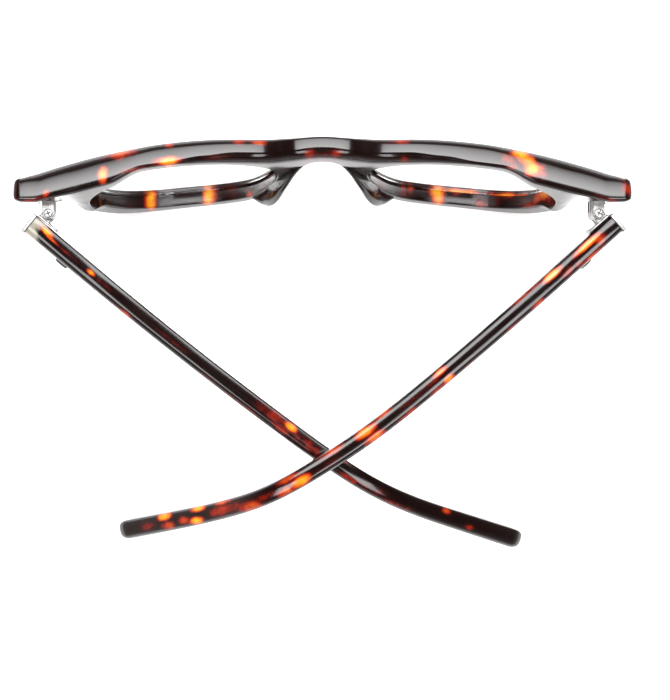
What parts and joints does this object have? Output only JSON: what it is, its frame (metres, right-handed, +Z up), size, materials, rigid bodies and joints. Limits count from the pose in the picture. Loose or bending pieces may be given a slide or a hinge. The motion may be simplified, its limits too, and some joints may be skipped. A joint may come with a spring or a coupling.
{
  "type": "folding reading glasses",
  "caption": "Folding reading glasses: a thick tortoiseshell acetate front with clear lenses, moulded nose pads, barrel hinges and folding wire-cored temples.",
  "frame": {"origin": "on the surface that the glasses stand on, below the middle of their box", "axes": "+X to the wearer's left, +Y from the front back towards the ears, +Z up"},
  "size_m": [0.145, 0.0993, 0.0422],
  "materials": {
    "tortoiseshell_acetate": "polished",
    "lens": "clear, polished",
    "hinge_metal": "polished",
    "core_wire_metal": "satin"
  },
  "bodies": {
    "front": {"frame_front": "tortoiseshell_acetate", "front_hinge_leaf_left": "hinge_metal", "front_hinge_leaf_right": "hinge_metal", "hinge_screw_left": "hinge_metal", "hinge_screw_right": "hinge_metal", "lens_left": "lens", "lens_right": "lens", "nose_pad_left": "tortoiseshell_acetate", "nose_pad_right": "tortoiseshell_acetate"},
    "left_temple_arm": {"core_wire_left": "core_wire_metal", "temple_badge_left": "hinge_metal", "temple_end_cap_left": "hinge_metal", "temple_hinge_leaf_left": "hinge_metal", "temple_left": "tortoiseshell_acetate"},
    "right_temple_arm": {"core_wire_right": "core_wire_metal", "temple_badge_right": "hinge_metal", "temple_end_cap_right": "hinge_metal", "temple_hinge_leaf_right": "hinge_metal", "temple_right": "tortoiseshell_acetate"}
  },
  "joints": [
    {"name": "left_temple_fold", "type": "hinge", "parent": "front", "child": "left_temple_arm", "pos_m": [0.0649, -0.03165, 0.03138], "axis": [-0.0523, 0, 0.9986], "range_deg": [-51.6, 36]},
    {"name": "right_temple_fold", "type": "hinge", "parent": "front", "child": "right_temple_arm", "pos_m": [-0.0649, -0.03165, 0.03138], "axis": [0.0523, 0, -0.9986], "range_deg": [-49.4, 36], "deforming": ["temple_right", "core_wire_right"]}
  ]
}
